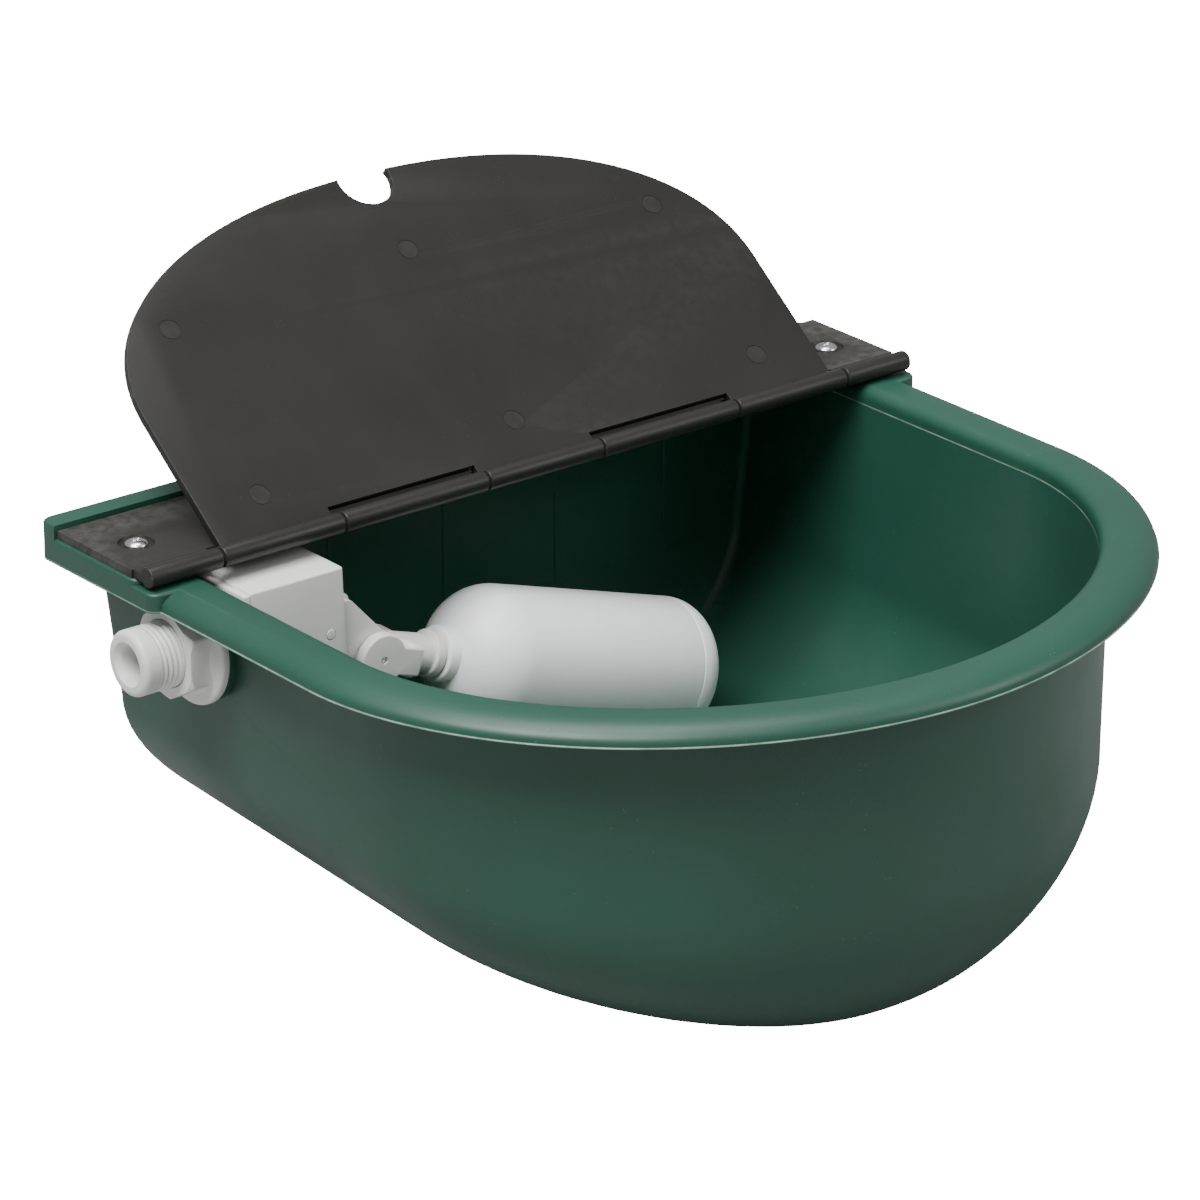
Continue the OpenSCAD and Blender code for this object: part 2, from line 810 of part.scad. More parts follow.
// Half section of the float's shell at a depth t under its skin, as radius and distance
function float_profile(t, end) = concat(
    [[0, float_start + t]],
    [for (i = [1:10])
        let (q = 9 * i)
        [(float_r - t) * pow(sin(q), shoulder_power), float_start + t + (shoulder_len - t) * (1 - cos(q))]],
    [[float_r - t, end], [0, end]]);

module float_solid(t, end) {
    rotate([0, 90, 0]) rotate_extrude() polygon(float_profile(t, end));
}

module float_shell() {
    neck_end = float_start + socket_len;
    color([0.9, 0.9, 0.89])
    along_arm() difference() {
        union() {
            float_solid(0, cap_x);
            x_cylinder(float_start - neck_len, neck_end, neck_r);
        }
        difference() {
            float_solid(float_wall, cap_x + past);
            x_cylinder(float_start - neck_len - past, neck_end + 2 * past, neck_r);
        }
        x_cylinder(float_start - neck_len - past, neck_end + 10 * tiny, rod_r + 3 * tiny);
    }
}

// Half section of the end cap, from the seam to its rounded end
function cap_profile(t) = concat(
    [[0, 0]],
    [[float_r - t, 0]],
    [for (i = [0:8])
        let (q = 90 * i / 8)
        [float_r - cap_round + (cap_round - t) * cos(q), cap_len - cap_round + (cap_round - t) * sin(q)]],
    [[0, cap_len - t]]);

module float_cap() {
    color([0.9, 0.9, 0.89])
    along_arm() translate([cap_x, 0, 0]) difference() {
        rotate([0, 90, 0]) rotate_extrude() polygon(cap_profile(0));
        translate([-tiny, 0, 0]) rotate([0, 90, 0]) rotate_extrude() polygon(cap_profile(float_wall));
    }
}

bowl();
cover_plate();
cover_flap();
hinge_pin();
cover_screws();
valve_body();
lock_nut();
wall_gasket();
nozzle();
nozzle_ring();
plunger();
plunger_washer();
splash_cover();
float_arm();
pivot_pin();
float_shell();
float_cap();
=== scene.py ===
"""Looks for a wall-mounted drinking bowl with a float valve and a hinged cover flap.

Shapes are made in millimetres in the CAD frame, and scaled to metres at the end.
"""
import math

import bmesh
import bpy
import numpy as np
from mathutils import Matrix, Vector


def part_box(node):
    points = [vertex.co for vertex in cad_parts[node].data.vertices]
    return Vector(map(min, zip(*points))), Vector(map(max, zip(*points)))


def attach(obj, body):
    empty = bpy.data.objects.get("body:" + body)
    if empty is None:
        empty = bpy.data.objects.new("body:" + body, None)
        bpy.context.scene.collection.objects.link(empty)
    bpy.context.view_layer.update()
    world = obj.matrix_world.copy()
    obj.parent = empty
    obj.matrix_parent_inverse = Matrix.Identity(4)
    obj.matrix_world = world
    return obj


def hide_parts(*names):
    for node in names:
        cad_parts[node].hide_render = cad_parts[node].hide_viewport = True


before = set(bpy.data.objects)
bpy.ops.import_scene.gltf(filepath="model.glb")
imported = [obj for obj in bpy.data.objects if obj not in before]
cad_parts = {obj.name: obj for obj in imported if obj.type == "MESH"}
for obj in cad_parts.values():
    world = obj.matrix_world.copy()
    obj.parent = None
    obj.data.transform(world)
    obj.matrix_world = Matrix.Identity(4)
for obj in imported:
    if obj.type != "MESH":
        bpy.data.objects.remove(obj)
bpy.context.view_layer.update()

MM = 0.001

# ---- Sizes in mm, as the CAD model has them ----

HINGE_Y, HINGE_Z = -56.0, 22.0
SEAT_Z = 20.0
RIM_TOP, RIM_LOW = 18.2, 12.0
FLOOR_Z = -98.8
ROUND_TOP, ROUND_H = -44.8, 54.0
RIM_HALF_W, STRAIGHT_LEN, FRONT_BOW, FRONT_POWER = 149.8, 137.0, 127.5, 1.92
FLOOR_SLOPE, FLOOR_POWER, LIP_DEPTH = 0.064, 2.2, 1.0
WALL = 3.2
SIDE_INSET, FRONT_INSET, BACK_INSET, SIDE_DRAFT = 16.0, 15.0, 0.6, 0.117
SIDE_ROUND, FRONT_ROUND, BACK_ROUND = 85.0, 34.0, 38.0
CORNER_R, CORNER_GAIN, LEAST_CORNER_R = 6.0, 14.0, 3.0
ROLL_W, ROLL_H, INNER_R = 11.0, 6.2, 4.0
FLASH_OUT, FLASH_T, FLASH_ROOT = 0.3, 0.28, 0.5
RIB_FOOT, RIB_HEAD, RIB_R, RIB_SINK = -62.0, 9.0, 0.75, 0.35
RIB_PLACES = (-92, -46, 0, 46, 92)
BOSS_R, WALL_PAD_OVER, WALL_PAD_H = 5.0, 5.0, 2.5
LIP_T, SKIN_T = 2.6, 3.0
FLANGE_HALF_W, FLANGE_FRONT, FLANGE_CORNER = 152.6, -61.0, 4.0
LAND_Y, LAND_Z = -51.5, 18.0
CURB_TOP, PLATE_BACK, PLATE_EDGE, PLATE_TOP = 24.4, -8.9, -48.828, 22.7
PLATE_HALF_W, PLATE_T = 151.6, 2.7
CURB_END, PAD_R, INNER_PAD_R = 138.6, 18.0, 16.0
SCREW_X, SCREW_Y, SCREW_R, SCREW_LEN = 138.0, -31.6, 2.05, 11.5
SCREW_HEAD_R, SCREW_HOLE_R, RECESS_DEPTH, RECESS_R = 3.75, 2.25, 1.0, 5.3
BARREL_HALF, BARREL_R, PIN_R = 151.0, 3.3, 1.5
KNUCKLE_MID, KNUCKLE_IN, KNUCKLE_OUT, KNUCKLE_GAP = 22.9, 78.5, 124.2, 0.8
FLAP_HALF_W, FLAP_STRAIGHT, FLAP_BOW, FLAP_POWER, FLAP_T = 121.4, 51.5, 66.7, 2.18, 2.8
FLAP_OPEN = 142.6
NOTCH_R, NOTCH_DEPTH = 9.75, 12.0
HOLE_PITCH, HOLE_R = 135.0, 3.25
VALVE_Z = -4.0
THREAD_R, THREAD_PITCH, SHANK_R, BORE_R = 10.4775, 1.814, 10.3, 5.5
WALL_OUT, PAD_OUT, PAD_IN, NUT_OUT, SPIGOT_END = -131.928, -134.1, -126.556, -145.1, -159.1
SHOULDER_X, SPLASH_X, SPLASH_END = -125.056, -122.556, -87.056
CHAMBER_X, GUIDE_END, PLUNGER_END = -106.556, -89.056, -84.025
PIVOT_X, PIVOT_Z = -71.556, -22.0
FINGER_LEN, FINGER_TURN = 21.974, -26.1085
DROP = 17.783
FLOAT_START, FLOAT_R, CAP_X, CAP_LEN, CAP_ROUND, SHOULDER_LEN = 32.0, 23.25, 124.0, 12.0, 11.0, 20.0
ROD_R, EAR_R, EAR_IN, EAR_OUT = 6.2, 8.4, 8.0, 12.0
BLOCK_IN, BLOCK_OUT = 9.2, 15.2
HUB_HALF_W, COLLAR_OVER = 3.5, 1.4
FLOAT_WALL, NECK_R, NECK_LEN, SOCKET_LEN = 1.8, 9.0, 3.0, 6.0
CHEEK_IN, CHEEK_OUT, CHEEK_R = 3.9, 7.6, 8.2
SHOULDER_HALF_W, SHOULDER_RISE, GUIDE_R, GUIDE_BORE_R, JET_BORE_R = 13.5, 17.5, 8.6, 5.98, 4.2
LUG_R, LUG_BACK, LUG_DROP = 1.7, 4.0, 3.0
BOX_HALF_W, BOX_BELOW, BOX_RISE, BOX_WALL, BOX_DRAFT = 14.0, 14.0, 18.0, 2.0, 0.7
NUT_FLATS, NUT_FLANGE_R, NUT_PLAY = 27.0, 18.5, 0.06


# ---- Mesh tools ----

def solid(name, verts, faces):
    """A closed mesh object, with its faces turned outwards."""
    mesh = bpy.data.meshes.new(name)
    mesh.from_pydata([tuple(float(c) for c in v) for v in verts], [], faces)
    bm = bmesh.new()
    bm.from_mesh(mesh)
    bmesh.ops.recalc_face_normals(bm, faces=bm.faces)
    bm.to_mesh(mesh)
    bm.free()
    obj = bpy.data.objects.new(name, mesh)
    bpy.context.scene.collection.objects.link(obj)
    return obj


def settled(obj):
    """The object, with its modifiers made part of its mesh."""
    graph = bpy.context.evaluated_depsgraph_get()
    mesh = bpy.data.meshes.new_from_object(obj.evaluated_get(graph))
    obj.modifiers.clear()
    old, obj.data = obj.data, mesh
    bpy.data.meshes.remove(old)
    return obj


def combined(obj, tools, operation):
    for tool in tools:
        step = obj.modifiers.new("step", "BOOLEAN")
        step.operation, step.solver, step.object = operation, "MANIFOLD", tool
        settled(obj)
        bpy.data.objects.remove(tool, do_unlink=True)
    return obj


def joined(obj, *tools):
    return combined(obj, tools, "UNION")


def cut(obj, *tools):
    return combined(obj, tools, "DIFFERENCE")


def common(obj, *tools):
    return combined(obj, tools, "INTERSECT")


def bevelled(obj, width, segments=3, angle=35):
    step = obj.modifiers.new("edge", "BEVEL")
    step.width, step.segments = width, segments
    step.limit_method, step.angle_limit = "ANGLE", math.radians(angle)
    step.use_clamp_overlap = True
    return settled(obj)


def moved(obj, matrix):
    obj.data.transform(matrix)
    return obj


def rounded(points, radii, steps=5, closed=True):
    """A 2-D outline with its corners rounded. radii is one number, or one for each point."""
    if not hasattr(radii, "__len__"):
        radii = [radii] * len(points)
    pts = [np.array(p, float) for p in points]
    out = []
    for i, (p, r) in enumerate(zip(pts, radii)):
        if r <= 0 or (not closed and i in (0, len(pts) - 1)):
            out.append(p)
            continue
        a, b = pts[i - 1] - p, pts[(i + 1) % len(pts)] - p
        la, lb = np.linalg.norm(a), np.linalg.norm(b)
        a, b = a / la, b / lb
        half = math.acos(max(-1, min(1, float(a @ b)))) / 2
        reach = min(r / math.tan(half), 0.49 * la, 0.49 * lb)
        r = reach * math.tan(half)
        mid = p + (a + b) / np.linalg.norm(a + b) * r / math.sin(half)
        start, end = p + a * reach - mid, p + b * reach - mid
        t0 = math.atan2(start[1], start[0])
        turn = (math.atan2(end[1], end[0]) - t0 + math.pi) % (2 * math.pi) - math.pi
        out += [mid + r * np.array([math.cos(t0 + turn * k / steps), math.sin(t0 + turn * k / steps)])
                for k in range(steps + 1)]
    return out


def spin(name, profile, centre=(0, 0, 0), axis="x", steps=96, loop=False, ripple=None):
    """A turned solid from a profile of (distance along the axis, radius).

    ripple(along, angle, radius) may vary the radius round the axis.
    """
    verts, rows = [], []
    for along, r in profile:
        row = []
        for k in range(steps if r > 1e-6 else 1):
            t = 2 * math.pi * k / steps
            rr = ripple(along, t, r) if ripple else r
            u, v = rr * math.cos(t), rr * math.sin(t)
            row.append(len(verts))
            place = {"x": (along, u, v), "y": (u, along, v), "z": (u, v, along)}[axis]
            verts.append([c + p for c, p in zip(centre, place)])
        rows.append(row)
    pairs = list(zip(rows, rows[1:])) + ([(rows[-1], rows[0])] if loop else [])
    faces = []
    for a, b in pairs:
        for k in range(steps):
            m = (k + 1) % steps
            if len(a) == 1 and len(b) == 1:
                continue
            if len(a) == 1:
                faces.append([a[0], b[k], b[m]])
            elif len(b) == 1:
                faces.append([a[k], b[0], a[m]])
            else:
                faces.append([a[k], b[k], b[m], a[m]])
    return solid(name, verts, faces)


def rod(x0, x1, r, centre=(0, 0, 0), axis="x", edge=0.3, steps=64):
    """A cylinder with rounded ends."""
    profile = [(x0, 0), (x0, r), (x1, r), (x1, 0)]
    if edge > 0:
        profile = rounded(profile, [0, edge, edge, 0], 4, closed=False)
    return spin("rod", profile, centre, axis, steps)


def block(low, high, edge=0.0, segments=3):
    verts = [(x, y, z) for x in (low[0], high[0]) for y in (low[1], high[1]) for z in (low[2], high[2])]
    faces = [[0, 1, 3, 2], [4, 6, 7, 5], [0, 4, 5, 1], [2, 3, 7, 6], [0, 2, 6, 4], [1, 5, 7, 3]]
    obj = solid("block", verts, faces)
    return bevelled(obj, edge, segments) if edge > 0 else obj


def extruded(outline, lo, hi, axis="z"):
    """An outline pushed along an axis. The outline's two numbers are the other two axes, in order."""
    place = {"x": lambda p, h: (h, p[0], p[1]), "y": lambda p, h: (p[0], h, p[1]),
             "z": lambda p, h: (p[0], p[1], h)}[axis]
    n = len(outline)
    verts = [place(p, lo) for p in outline] + [place(p, hi) for p in outline]
    faces = [list(range(n))[::-1], list(range(n, 2 * n))]
    faces += [[i, (i + 1) % n, n + (i + 1) % n, n + i] for i in range(n)]
    return solid("slab", verts, faces)


def loft(rings):
    n = len(rings[0])
    verts = [p for ring in rings for p in ring]
    faces = [list(range(n)), [(len(rings) - 1) * n + i for i in range(n)][::-1]]
    for j in range(len(rings) - 1):
        for i in range(n):
            a, b = j * n + i, j * n + (i + 1) % n
            faces.append([a, a + n, b + n, b])
    return solid("loft", verts, faces)


def piece(obj, name, body, nodes, material, angle=32):
    """Finishes a mesh: metres, smooth shading, its material, body and CAD nodes."""
    obj.name = obj.data.name = name
    bm = bmesh.new()
    bm.from_mesh(obj.data)
    bmesh.ops.remove_doubles(bm, verts=bm.verts, dist=0.002)
    bmesh.ops.dissolve_degenerate(bm, edges=bm.edges, dist=0.001)
    bm.to_mesh(obj.data)
    bm.free()
    obj.data.transform(Matrix.Scale(MM, 4))
    obj.data.shade_smooth()
    obj.data.set_sharp_from_angle(angle=math.radians(angle))
    obj.data.materials.clear()
    obj.data.materials.append(material)
    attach(obj, body)
    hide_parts(*nodes)
    return obj


# ---- Bowl ----

def power(v, p):
    return math.copysign(abs(v) ** p, v)


def side_at(z):
    return SIDE_INSET + SIDE_DRAFT * max(0, RIM_LOW - z)


def outline(side, front, back, corner, p=FRONT_POWER, steps=128, corner_steps=8):
    half = RIM_HALF_W - side
    pts = []
    for i in range(steps + 1):
        t = math.pi * i / steps
        pts.append((half * power(math.cos(t), 2 / p),
                    -STRAIGHT_LEN - (FRONT_BOW - front) * power(math.sin(t), 2 / p)))
    for i in range(corner_steps + 1):
        t = math.pi / 2 * i / corner_steps
        pts.append((-half + corner * (1 - math.cos(t)), -back - corner * (1 - math.sin(t))))
    for i in range(corner_steps, -1, -1):
        t = math.pi / 2 * i / corner_steps
        pts.append((half - corner * (1 - math.cos(t)), -back - corner * (1 - math.sin(t))))
    return pts


def ring(side, front, back, corner, z):
    """An outline at a height. Towards the bottom it grows squarer in front, and slopes down to the front."""
    top = RIM_LOW - LIP_DEPTH
    share = max(0.0, min(1.0, (top - z) / (top - FLOOR_Z)))
    p = FRONT_POWER + share * (FLOOR_POWER - FRONT_POWER)
    return [(x, y, z + FLOOR_SLOPE * (y + STRAIGHT_LEN) * share)
            for x, y in outline(side, front, back, corner, p)]


def wall_rings(t, steps=22):
    """The wall from the rim down to its lowest ring, at a depth t under its outer face."""
    corner = max(LEAST_CORNER_R, CORNER_R - t)
    rings = [ring(side_at(RIM_LOW) + t, FRONT_INSET + t, BACK_INSET + t, corner, RIM_LOW - LIP_DEPTH)]
    for i in range(steps + 1):
        q = math.pi / 2 * i / steps
        c = 1 - math.cos(q)
        side = side_at(ROUND_TOP) + t + (SIDE_ROUND - t) * c
        front = FRONT_INSET + t + (FRONT_ROUND - t) * c
        back = BACK_INSET + t + (BACK_ROUND - t) * c
        z = ROUND_TOP - (ROUND_H - t) * math.sin(q)
        rings.append(ring(side, front, back, corner + CORNER_GAIN * c, z))
    return rings


def rim():
    """The rim's roll, with a thin moulding flash round its lower edge."""
    rings = []
    for i in range(13):
        q = math.pi / 2 * (1 - i / 12)
        inset = FLASH_OUT + (ROLL_W - FLASH_OUT) * (1 - math.cos(q))
        z = RIM_LOW + FLASH_ROOT + (ROLL_H - FLASH_ROOT) * math.sin(q)
        rings.append(ring(inset, inset, BACK_INSET + 1, CORNER_R, z))
    for z in (RIM_LOW + FLASH_T, RIM_LOW):
        rings.append(ring(0.0, 0.0, BACK_INSET + 1, CORNER_R, z))
    return loft(rings)


def cavity():
    side, front, back = SIDE_INSET + WALL - INNER_R, FRONT_INSET + WALL - INNER_R, BACK_INSET + WALL
    rings = [ring(side, front, back, CORNER_R, SEAT_Z + 1)]
    for i in range(9):
        q = math.pi / 2 * i / 8
        inset = INNER_R * math.sin(q)
        rings.append(ring(side + inset, front + inset, back, CORNER_R, RIM_TOP - INNER_R * (1 - math.cos(q))))
    return loft(rings + wall_rings(WALL))


def flange_ring(y0, inset, z, corner):
    w = FLANGE_HALF_W - inset
    pts = [(w, -inset), (-w, -inset), (-w, y0 + inset), (w, y0 + inset)]
    return [(x, y, z) for x, y in rounded(pts, corner, 10)]


def flange(y0, z0, z1, edge=1.0):
    """One level of the flange, with a rounded top edge."""
    rings = [flange_ring(y0, 0, z0, FLANGE_CORNER)]
    for i in range(6):
        q = math.pi / 2 * i / 5
        rings.append(flange_ring(y0, edge * (1 - math.cos(q)), z1 - edge * (1 - math.sin(q)), FLANGE_CORNER))
    return loft(rings[::-1])


def curb():
    """The raised strip behind the cover plate."""
    strip = flange(FLANGE_FRONT, SEAT_Z - SKIN_T, CURB_TOP, 1.0)
    keep = block((-160, PLATE_BACK + 0.3, 0), (CURB_END, 5, 40))
    return common(strip, keep)


def under_hollow():
    ring_out = [(x, y) for x, y in outline(LIP_T, LIP_T, -20, CORNER_R)]
    ring_in = [(x, y) for x, y in outline(SIDE_INSET, FRONT_INSET, -30, CORNER_R)]
    space = extruded(ring_out, RIM_LOW - 1, RIM_TOP - SKIN_T)
    return cut(space, extruded(ring_in, RIM_LOW - 2, RIM_LOW + ROLL_H + 2),
               block((-200, -WALL - 8, RIM_LOW - 3), (200, 40, RIM_TOP)))


def wall_ribs():
    """Faint upright lines on the inside of the back wall.

    The wall curves in below z -57, and there the ribs' feet show on its outside.
    """
    corners = [(RIB_FOOT, 0), (RIB_FOOT, RIB_R), (RIB_HEAD, RIB_R), (RIB_HEAD, 0)]
    profile = rounded(corners, [0, 0.7, 0.7, 0], 4, closed=False)
    y = -BACK_INSET - WALL + RIB_SINK
    return [spin("rib", profile, (x, y, 0), "z", 16) for x in RIB_PLACES]


def bowl():
    shell = loft([ring(SIDE_INSET, FRONT_INSET, BACK_INSET, CORNER_R, RIM_TOP - 1)] + wall_rings(0))
    obj = joined(rim(), shell, flange(FLANGE_FRONT, RIM_LOW - 0.2, LAND_Z),
                 flange(LAND_Y, LAND_Z - 3, SEAT_Z))
    obj = cut(obj, under_hollow(), cavity())
    ledge = block((-RIM_HALF_W + SIDE_INSET, PLATE_BACK - 4, SEAT_Z - SKIN_T - 0.5),
                  (RIM_HALF_W - SIDE_INSET, -1, SEAT_Z))
    bosses = [rod(RIM_LOW, SEAT_Z - 1, BOSS_R, (s * SCREW_X, SCREW_Y, 0), "z", 0.6) for s in (-1, 1)]
    pads = [rod(-WALL - WALL_PAD_H, 0, HOLE_R + WALL_PAD_OVER, (s * HOLE_PITCH / 2, 0, 0), "y", 0.8)
            for s in (-1, 1)]
    inlet = [rod(PAD_OUT, WALL_OUT + 1.5, PAD_R, (0, HINGE_Y, VALVE_Z), "x", 0.7, 96),
             rod(WALL_OUT + WALL - 1.5, PAD_IN, INNER_PAD_R, (0, HINGE_Y, VALVE_Z), "x", 0.7, 96)]
    obj = joined(obj, curb(), ledge, *bosses, *pads, *inlet, *wall_ribs())
    holes = [rod(SEAT_Z - 12, SEAT_Z + 1, 2.16, (s * SCREW_X, SCREW_Y, 0), "z", 0) for s in (-1, 1)]
    holes += [rod(-WALL - 10, 5, HOLE_R, (s * HOLE_PITCH / 2, 0, 0), "y", 0) for s in (-1, 1)]
    holes += [rod(PAD_OUT - 5, PAD_IN + 5, SHANK_R + 0.4, (0, HINGE_Y, VALVE_Z), "x", 0, 96)]
    return cut(obj, *holes)


# ---- Cover ----

def knuckle(x0, x1, edge=0.5):
    return rod(x0, x1, BARREL_R, (0, HINGE_Y, HINGE_Z), "x", edge, 64)


def cover_plate():
    gap = KNUCKLE_GAP / 2
    spans = [(-BARREL_HALF, -KNUCKLE_OUT - gap), (-KNUCKLE_IN + gap, -KNUCKLE_MID - gap),
             (KNUCKLE_MID + gap, KNUCKLE_IN - gap), (KNUCKLE_OUT + gap, BARREL_HALF)]
    obj = block((-PLATE_HALF_W, PLATE_EDGE, SEAT_Z), (PLATE_HALF_W, PLATE_BACK, PLATE_TOP))
    for x0, x1 in spans:
        a, b = max(x0, -PLATE_HALF_W), min(x1, PLATE_HALF_W)
        obj = joined(obj, block((a, HINGE_Y, HINGE_Z - 2), (b, PLATE_EDGE + 1, PLATE_TOP)))
    obj = bevelled(obj, 0.4, 3)
    obj = joined(obj, *[knuckle(x0, x1) for x0, x1 in spans])
    top = SEAT_Z + PLATE_T
    corners = [(top - RECESS_DEPTH, 0), (top - RECESS_DEPTH, RECESS_R), (top + 0.4, 6.0), (top + 2, 6.0),
               (top + 2, 0)]
    well = rounded(corners, [0, 0.5, 0, 0, 0], 4, closed=False)
    for s in (-1, 1):
        centre = (s * SCREW_X, SCREW_Y, 0)
        obj = cut(obj, spin("well", well, centre, "z", 72),
                  rod(SEAT_Z - 1, top + 1, SCREW_HOLE_R, centre, "z", 0))
    return cut(obj, rod(-BARREL_HALF + 2, BARREL_HALF + 1, PIN_R + 0.03, (0, HINGE_Y, HINGE_Z), "x", 0))


def flap_outline(steps=160):
    pts = [(FLAP_HALF_W, 0.0)]
    for i in range(steps + 1):
        t = math.pi * i / steps
        pts.append((FLAP_HALF_W * power(math.cos(t), 2 / FLAP_POWER),
                    -(FLAP_STRAIGHT + FLAP_BOW * power(math.sin(t), 2 / FLAP_POWER))))
    return pts + [(-FLAP_HALF_W, 0.0)]


def ejector_marks():
    """Thin rings left by the mould's pins on the flap's inner face, as (along the hinge, from the hinge)."""
    top = BARREL_R - FLAP_T
    marks = []
    for u, v in ((-96, 80.5), (96, 80.5), (-99, 17), (99, 17), (0, 18), (0, 87)):
        profile = [(top - 1, 3.4), (top + 0.12, 3.4), (top + 0.12, 3.75), (top - 1, 3.75)]
        marks.append(spin("mark", profile, (u, -v, 0), "z", 48, loop=True))
    return marks


def cover_flap():
    gap = KNUCKLE_GAP / 2
    top, low = BARREL_R, BARREL_R - FLAP_T
    obj = extruded(flap_outline(), low, top)
    length = FLAP_STRAIGHT + FLAP_BOW
    obj = cut(obj, rod(-1, BARREL_R + 2, NOTCH_R, (0, -(length - NOTCH_DEPTH + NOTCH_R), 0), "z", 0, 96))
    for x0, x1 in ((-KNUCKLE_IN - 1.2, -KNUCKLE_MID), (KNUCKLE_MID, KNUCKLE_IN + 1.2)):
        obj = cut(obj, block((x0, -6.6, -5), (x1, 5, 5)))
    obj = bevelled(obj, 0.45, 3)
    obj = cut(obj, *ejector_marks())
    for x0, x1 in ((-KNUCKLE_OUT + gap, -KNUCKLE_IN - gap), (-KNUCKLE_MID + gap, KNUCKLE_MID - gap),
                   (KNUCKLE_IN + gap, KNUCKLE_OUT - gap)):
        obj = joined(obj, rod(x0, x1, BARREL_R, (0, 0, 0), "x", 0.5))
    obj = cut(obj, rod(-BARREL_HALF, BARREL_HALF, PIN_R + 0.06, (0, 0, 0), "x", 0))
    turn = Matrix.Translation((0, HINGE_Y, HINGE_Z)) @ Matrix.Rotation(math.radians(-FLAP_OPEN), 4, "X")
    return moved(obj, turn)


def cover_screws():
    """Domed cross-head screws, seated in the plate's round recesses."""
    seat = SEAT_Z + PLATE_T - RECESS_DEPTH
    objs = []
    for s in (-1, 1):
        centre = (s * SCREW_X, SCREW_Y, 0)
        profile = [(seat - SCREW_LEN, 0), (seat - SCREW_LEN, 0.7), (seat - SCREW_LEN + 2, SCREW_R),
                   (seat, SCREW_R), (seat, SCREW_HEAD_R)]
        profile += [(seat + 0.5 + 1.55 * math.sin(a), SCREW_HEAD_R * math.cos(a))
                    for a in np.linspace(0, math.pi / 2, 9)]
        obj = spin("screw", profile, centre, "z", 64)
        for a in (20, 110):
            slot = extruded([(-2.1, 2.3), (-1.1, 0.8), (1.1, 0.8), (2.1, 2.3)], -0.42, 0.42, "y")
            turn = Matrix.Rotation(math.radians(a), 4, "Z")
            moved(slot, Matrix.Translation((centre[0], centre[1], seat)) @ turn)
            obj = cut(obj, slot)
        objs.append(bevelled(obj, 0.12, 2, 50))
    return joined(objs[0], objs[1])


# ---- Valve ----

def thread(along, angle, r):
    """Radius of a rounded pipe thread that fades out at the free end."""
    if r < THREAD_R - 0.9 or along > NUT_OUT - 0.2:
        return r
    phase = (along / THREAD_PITCH - angle / (2 * math.pi)) % 1.0
    depth = 0.6 * (0.5 - 0.5 * math.cos(2 * math.pi * phase)) ** 1.2
    fade = min(1.0, max(0.0, (along - SPIGOT_END - 5.0) / 3.0)) * min(1.0, max(0.0, (NUT_OUT - along) / 0.8))
    return r - depth * fade


def spigot():
    """The threaded inlet, with a rounded free end."""
    corners = [(SPIGOT_END, 0), (SPIGOT_END, THREAD_R), (NUT_OUT + 0.5, THREAD_R)]
    profile = rounded(corners, [0, 1.9, 0], 8, closed=False)[:-1]
    rows = np.arange(SPIGOT_END + 2.2, NUT_OUT, THREAD_PITCH / 10)
    profile += [(x, THREAD_R) for x in rows]
    profile += [(NUT_OUT + 0.4, THREAD_R - 0.05), (NUT_OUT + 0.4, 0)]
    return spin("spigot", profile, (0, HINGE_Y, VALVE_Z), "x", 96, ripple=thread)


def cheek(y0, y1):
    """One side of the fork that holds the float arm's pin."""
    back = SPLASH_X + 14
    side = [(back, VALVE_Z - 2), (back, PIVOT_Z + 2), (back + 8, PIVOT_Z - CHEEK_R),
            (PIVOT_X, PIVOT_Z - CHEEK_R), (PIVOT_X, PIVOT_Z),
            (PIVOT_X + 3, PIVOT_Z + 7.5), (SPLASH_END + 6, VALVE_Z + 3.4),
            (SPLASH_END - 6, VALVE_Z + 3.4)]
    arm = extruded(rounded(side, [0.5, 2, 3, 0, 0, 2.5, 2.5, 0.5], 5), HINGE_Y + y0, HINGE_Y + y1, "y")
    disc = rod(y0, y1, CHEEK_R, (PIVOT_X, HINGE_Y, PIVOT_Z), "y", 0, 64)
    return bevelled(joined(arm, disc), 0.35, 3)


